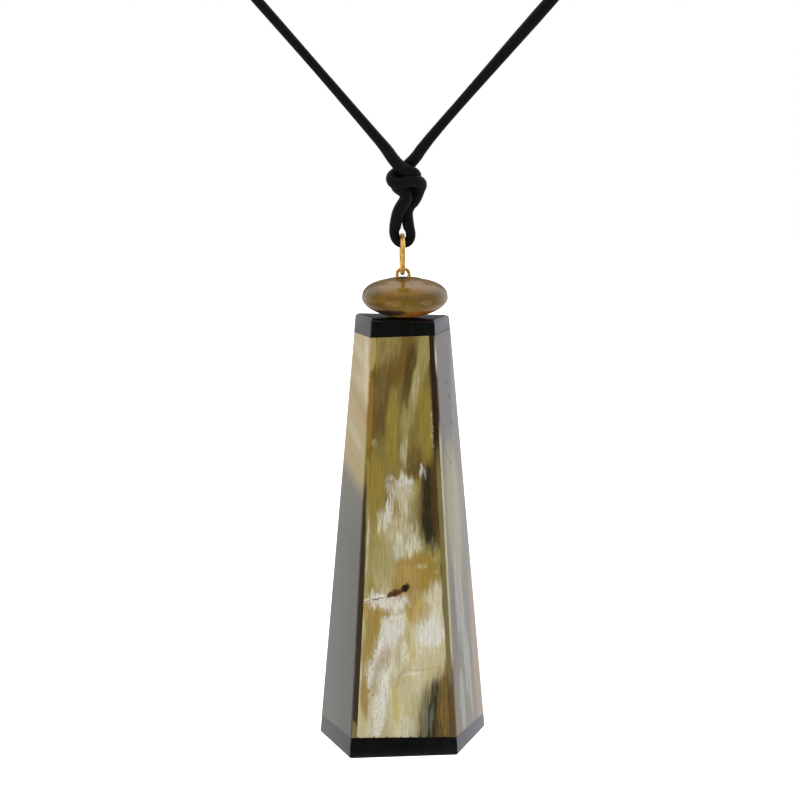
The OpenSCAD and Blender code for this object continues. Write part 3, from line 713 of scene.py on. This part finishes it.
# the route repeats the part's own, with the photograph's small sway and swelling added
cordSet = {
    "thickness": 2.1, "sides": 16, "strandStep": 1.1, "knotStep": 0.25, "fineBelow": -126, "knotTop": -137,
    "strand": [(4.05, 2), (7, 2), (14, 2), (24, 1), (36, -1), (48.5, -4.5), (60, -10), (69, -17.5),
        (74.5, -26.5), (76, -37), (73.5, -48), (67.5, -59), (59, -70), (40, -92), (21, -113.5), (8.3, -128),
        (4.2, -132.8)],
    "sway": [(-60, 0), (-80, 0.4), (-100, 0.75), (-107, 0.73), (-116, 0.58), (-125.5, 0.24), (-133, 0.2)],
    "leftShift": [(-60, 0), (-104, 0.04), (-112, -0.05), (-119, -0.08), (-123, 0.06), (-127, 0.18),
        (-133, 0.2)],
    "rightShift": [(-60, -0.1), (-80, -0.3), (-104, -0.37), (-110, -0.3), (-118.7, -0.48), (-123, -0.48),
        (-127, -0.18), (-129.5, 0), (-133, 0.03)],
    "leftSwell": [(-60, 1), (-104, 1.0), (-111, 0.955), (-117, 0.93), (-123, 0.985), (-128, 1.04),
        (-131.5, 1.1), (-134, 1.24), (-137, 1.3)],
    "rightSwell": [(-60, 1), (-95, 1.2), (-105.5, 1.28), (-111, 1.2), (-119, 1.07), (-124, 1.01),
        (-128, 1.03), (-131.5, 1.1), (-134, 1.18), (-137, 1.3)],
    "knotSwell": [(-137, 1.3), (-146, 1.3), (-149.9, 1.22), (-150.8, 1.05), (-153.5, 1.0)],
    "rightInKnot": [(2.95, 0.5, -134.9), (1.3, 0.8, -136.7), (-0.4, 0.8, -138.0), (-1.7, 0.3, -138.7),
        (-2.25, -0.6, -139.5), (-1.6, -1.7, -140.3), (-0.2, -2.3, -140.3), (1.4, -2.3, -139.8),
        (3.0, -1.6, -139.9), (3.92, -0.4, -140.7), (3.5, 0.5, -142.1), (3.0, 0.7, -143.4),
        (2.4, 0.9, -144.5), (1.5, 1.0, -145.5), (1.0, 0.9, -146.8)],
    "loop": [(1.05, 0.7, -148.2), (1.34, 0.4, -149.9), (1.66, 0.15, -150.8), (1.77, 0, -151.7),
        (1.65, 0, -152.5), (1.1, 0, -153.3), (0.2, 0, -153.55), (-0.8, 0, -153.3), (-1.47, 0, -152.5),
        (-1.73, -0.05, -151.7), (-1.82, -0.2, -150.8), (-1.62, -0.45, -149.9), (-1.32, -0.8, -148.2)],
    "leftInKnot": [(-0.95, -1.0, -146.8), (-0.3, -1.2, -145.4), (0.3, -1.4, -144.5), (0.7, -1.7, -143.4),
        (0.4, -1.7, -142.3), (-0.9, -0.9, -141.4), (-1.1, 0.5, -141.2), (-0.1, 1.6, -141.6),
        (1.4, 1.9, -141.4), (2.5, 1.2, -140.2), (2.75, -0.1, -139.0), (2.3, -1.2, -138.3),
        (1.1, -1.7, -137.7), (-0.4, -1.4, -136.9), (-1.95, -0.7, -135.3)]}


def makeCord(c):
    right = [(x + between(c["sway"], z) + between(c["rightShift"], z), 0, z) for x, z in c["strand"]]
    left = [(between(c["sway"], z) + between(c["leftShift"], z) - x, 0, z) for x, z in reversed(c["strand"])]
    points = right + c["rightInKnot"] + c["loop"] + c["leftInKnot"] + left
    route = smoothRoute(points, lambda z: c["knotStep"] if z < c["fineBelow"] else c["strandStep"])
    swell = []
    for p in route:
        table = "knotSwell" if p.z < c["knotTop"] else "rightSwell" if p.x > 0 else "leftSwell"
        swell.append(between(c[table], p.z))
    length = sum((b - a).length for a, b in zip(route, route[1:])) * mm
    cord = makeRope("cord", route, c["thickness"], c["sides"], "cord", swell)
    print("cord made, length", round(length, 4), "m")
    return cord, [tuple(p * mm) for p in route], length


cord, cordPath, cordLength = makeCord(cordSet)
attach(cord, "root")
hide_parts("cord_left", "cord_right", "knot", "cord_loop")

# the groove's places are (in from the end, depth), and the lip's turns are in radians
claspSet = {"length": 14.0, "wide": 4.0, "hole": 2.2, "mouth": 0.1, "cup": 3.0, "core": 0.001, "round": 0.6,
    "lipTurns": (0, 0.4, 0.8, 1.2, math.pi / 2), "groove": [(2.2, 0), (2.35, 0.18), (2.65, 0.18), (2.8, 0)],
    "height": 2.0, "sides": 48, "sharp": 50}


def makeClasp(c):
    half, r, hole, rim = c["length"] / 2, c["wide"] / 2, c["hole"] / 2, c["round"]
    outside = [(r - rim + rim * math.sin(a), half - rim + rim * math.cos(a)) for a in c["lipTurns"]]
    outside += [(r - deep, half - along) for along, deep in c["groove"]]
    outside += [(x, -h) for x, h in reversed(outside)]
    cups = [(hole, -half + c["mouth"]), (hole, -half + c["cup"]), (c["core"], -half + c["cup"])]
    cups += [(x, -h) for x, h in reversed(cups)]
    clasp = lathe("claspBarrel", outside + cups, c["sides"], "X", (0, 0, c["height"]))
    roundShading(clasp.data, c["sharp"])
    clasp.data.materials.append(materials["gilt"])
    return clasp


clasp = makeClasp(claspSet)
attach(clasp, "root")
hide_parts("clasp")

# the ring's cut is an angle counted up from its back, so it lies at the front, a little below the middle
wireSet = {"ringRadius": 4.1, "ringWire": 1.0, "ringHeight": -155.95, "ringTurn": -1.6, "ringShift": -0.05,
    "ringSides": 20, "ringSteps": 96, "cut": 0.12, "cutAt": 205, "eyeRadius": 1.325, "eyeWire": 0.75,
    "eyeHeight": -160.405, "eyeFoot": -171.82, "eyeShift": 0.1, "eyeSides": 16, "eyeSteps": 32, "eyeLeg": 4}


def makeRing(c):
    # a cut ring, its two ends almost touching
    r, gap, turn = c["ringRadius"], c["cut"] / c["ringRadius"], math.radians(c["ringTurn"])
    away = Vector((math.sin(turn), math.cos(turn), 0))
    route = []
    for k in range(c["ringSteps"] + 1):
        a = math.radians(c["cutAt"]) + gap / 2 + (2 * math.pi - gap) * k / c["ringSteps"]
        middle = Vector((c["ringShift"], 0, c["ringHeight"] + r * math.sin(a)))
        route.append(away * r * math.cos(a) + middle)
    return makeRope("jumpRing", route, c["ringWire"], c["ringSides"], "gilt")


def makeEye(c):
    # a staple: an arch on two straight legs
    r, turns = c["eyeRadius"], [math.pi * k / c["eyeSteps"] for k in range(c["eyeSteps"] + 1)]
    arch = [Vector((r * math.cos(a), 0, c["eyeHeight"] + r * math.sin(a))) for a in turns]
    foot = [Vector((r, 0, c["eyeFoot"])), Vector((r, 0, c["eyeHeight"] - c["eyeLeg"]))]
    wire = foot + arch + [Vector((-p.x, 0, p.z)) for p in reversed(foot)]
    route = [p + Vector((c["eyeShift"], 0, 0)) for p in wire]
    return makeRope("eyeStaple", route, c["eyeWire"], c["eyeSides"], "gilt")


ring, eye = makeRing(wireSet), makeEye(wireSet)
for piece, body, node in ((ring, "ring", "jump_ring"), (eye, "drop", "eye")):
    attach(piece, body)
    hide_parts(node)
print("clasp, ring and eye made")

beadSet = {"wide": 18.8, "up": 4.1, "down": 4.2, "fullUp": 2.6, "fullDown": 1.75, "middle": -165.655,
    "hole": 3.8, "lip": 0.15, "lipOut": 0.12, "lipOver": 0.02, "crown": 0.5, "crownReach": 3.6,
    "mouth": 0.25, "mouthFrom": 0.2, "mouthReach": 1.6, "offset": 0.5, "offsetReach": 0.4,
    "steps": 64, "sides": 96, "sharp": 50}


def makeBead(c):
    # the bead sits a little to the right, while its hole stays on the eye's line
    hole, outside = c["hole"] / 2, []
    for k in range(c["steps"] + 1):
        a = math.radians(90 - k * 180 / c["steps"])
        full, tall = (c["fullUp"], c["up"]) if a > 0 else (c["fullDown"], -c["down"])
        r = c["wide"] / 2 * max(0.0, math.cos(a)) ** (2 / full)
        if r > hole + c["offset"] + c["lip"]:
            outside.append((r, tall * abs(math.sin(a)) ** (2 / full)))
    top, low = outside[0][1], outside[-1][1]
    bore = [(hole + c["lipOut"], low - c["lipOver"]), (hole, low + c["lip"]), (hole, top - c["lip"]),
        (hole + c["lipOut"], top + c["lipOver"])]
    bead = lathe("hornBead", outside + bore, c["sides"], centre=(0, 0, c["middle"]))
    for v in bead.data.vertices:
        away = math.hypot(v.co.x, v.co.y) / mm
        if v.co.z > c["middle"] * mm:
            # a low crown stands round the mouth
            fall = math.pi * share((away - hole) / c["crownReach"])
            v.co.z += c["crown"] * mm * (0.5 + 0.5 * math.cos(fall))
        # the hole is a narrow slot that the eye's two legs fill
        v.co.y *= c["mouth"] + (1 - c["mouth"]) * share((away - hole - c["mouthFrom"]) / c["mouthReach"])
        v.co.x += c["offset"] * mm * share((away - hole - c["lip"]) / c["offsetReach"])
    roundShading(bead.data, c["sharp"])
    bead.data.materials.append(materials["bead"])
    return bead


bead = makeBead(beadSet)
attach(bead, "drop")
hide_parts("bead")
print("bead made")

# the plates and caps keep the part's own shapes: each is a merged copy with crisp edges
bodySet = {"sameSpot": 2e-6, "flat": 0.6, "sharp": 28, "plates": [
    ("top_cap", "topCap", "black", "black_horn"), ("base_cap", "baseCap", "black", "black_horn"),
    ("front_plate", "frontPlate", "front", "horn_front"), ("back_plate", "backPlate", "back", "horn_back"),
    ("left_plate", "leftPlate", "left", "horn_side"), ("right_plate", "rightPlate", "right", "horn_side")]}


def dressCopy(node, name, material, c):
    mesh = bmesh.new()
    mesh.from_mesh(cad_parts[node].data)
    bmesh.ops.remove_doubles(mesh, verts=mesh.verts, dist=c["sameSpot"])
    flat = math.radians(c["flat"])
    bmesh.ops.dissolve_limit(mesh, angle_limit=flat, verts=mesh.verts, edges=mesh.edges)
    bmesh.ops.recalc_face_normals(mesh, faces=mesh.faces)
    made = bpy.data.meshes.new(name)
    mesh.to_mesh(made)
    mesh.free()
    made.materials.clear()
    made.materials.append(material)
    roundShading(made, c["sharp"])
    return linkMesh(name, made)


for node, name, material, slot in bodySet["plates"]:
    piece = dressCopy(node, name, materials[material], bodySet)
    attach(piece, "drop")
    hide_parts(node)
print("horn body made")

floorSet = {"height": -0.6, "size": 3.0, "rough": 0.8, "colour": (0.92, 0.92, 0.92, 1), "glow": 0.6}


def makeFloor(c):
    data = bpy.data.meshes.new("floor")
    s, z = c["size"], c["height"]
    data.from_pydata([(-s, -s, z), (s, -s, z), (s, s, z), (-s, s, z)], [], [(0, 1, 2, 3)])
    floor = linkMesh("floor", data)
    pale = newMaterial("paleFloor", Roughness=c["rough"], Base_Color=c["colour"],
        Emission_Color=(1, 1, 1, 1), Emission_Strength=c["glow"])[0]
    data.materials.append(pale)
    floor.visible_glossy = False
    return floor


floor = makeFloor(floorSet)

# rows of four: two places along one axis of a ray's direction, and the value at each
roomSet = {
    "side": (-0.6, 0.6, 0.85, 1.08), "height": (-0.5, -0.15, 0.95, 1.4),
    "behindIn": (-0.1, 0.45, 0, 1), "behindOut": (0.8, 0.94, 1, 0.15),
    "ahead": 0.04, "aheadLow": (-0.3, -0.55, 0, 0.42), "above": (0.35, 0.8, 0, 0.7),
    "paneCore": 0.4, "paneReach": 1.6,
    "panes": [((-0.73, -0.68, 0.0), 8.0, 2.4), ((0.69, -0.72, -0.05), 6.0, 2.6),
        ((-0.62, -0.75, -0.26), 6.0, 1.6)],
    "coolSide": (0, 0.7, 0, 1), "plain": (1, 1, 1, 1), "cool": (0.97, 1.0, 1.08, 1)}


def makeRoom(c):
    world = bpy.data.worlds.new("studio")
    world.use_nodes = True
    scene.world = world
    tree = world.node_tree
    sky = tree.nodes["Background"]
    # a pale backdrop behind, a dim room in front, and light from above
    aim = addNode(tree, "ShaderNodeTexCoord").outputs["Generated"]
    right, back, up = axes(tree, aim)
    side = maths(tree, "MULTIPLY", spread(tree, right, *c["side"]), spread(tree, up, *c["height"]))
    band = maths(tree, "MULTIPLY", spread(tree, back, *c["behindIn"], True),
        spread(tree, back, *c["behindOut"], True))
    ahead = maths(tree, "ADD", spread(tree, up, *c["aheadLow"], True), c["ahead"])
    around = maths(tree, "MAXIMUM", maths(tree, "MULTIPLY", band, side), ahead)
    glow = maths(tree, "ADD", around, spread(tree, up, *c["above"], True))
    for toward, wide, power in c["panes"]:
        # a soft window of light that only shines back from polished faces
        facing = addNode(tree, "ShaderNodeVectorMath", {0: aim, 1: Vector(toward).normalized()},
            operation="DOT_PRODUCT").outputs["Value"]
        outer, inner = (math.cos(math.radians(wide * c[k])) for k in ("paneReach", "paneCore"))
        glow = maths(tree, "ADD", glow, spread(tree, facing, outer, inner, 0, power, True))
    # the camera itself sees plain white
    seen = addNode(tree, "ShaderNodeLightPath").outputs["Is Camera Ray"]
    level = addNode(tree, "ShaderNodeMix", {0: seen, 2: glow, 3: 1.0}, data_type="FLOAT").outputs[0]
    cool = maths(tree, "MULTIPLY", spread(tree, right, *c["coolSide"]), maths(tree, "SUBTRACT", 1.0, seen))
    tree.links.new(level, sky.inputs["Strength"])
    tree.links.new(blendColour(tree, cool, c["plain"], c["cool"]), sky.inputs["Color"])


# the lamps stand round the pendant: place in metres, size in metres, power in watts
lampSet = {"aim": (0, 0, -0.2), "lamps": [("key", (-1.0, -1.0, 0.0), 0.7, 9.0),
    ("fill", (1.0, -1.0, 0.05), 0.6, 6.5), ("top", (0.0, 0.1, 1.2), 0.8, 5.0)]}


def makeLamps(c):
    for name, place, size, power in c["lamps"]:
        lamp = bpy.data.lights.new(name, "AREA")
        lamp.size, lamp.energy = size, power
        holder = bpy.data.objects.new(name, lamp)
        holder.visible_glossy = False
        scene.collection.objects.link(holder)
        holder.location = place
        holder.rotation_euler = (Vector(c["aim"]) - Vector(place)).to_track_quat("-Z", "Y").to_euler()


makeRoom(roomSet)
makeLamps(lampSet)
scene.view_settings.view_transform = "Standard"
print("stage lit")
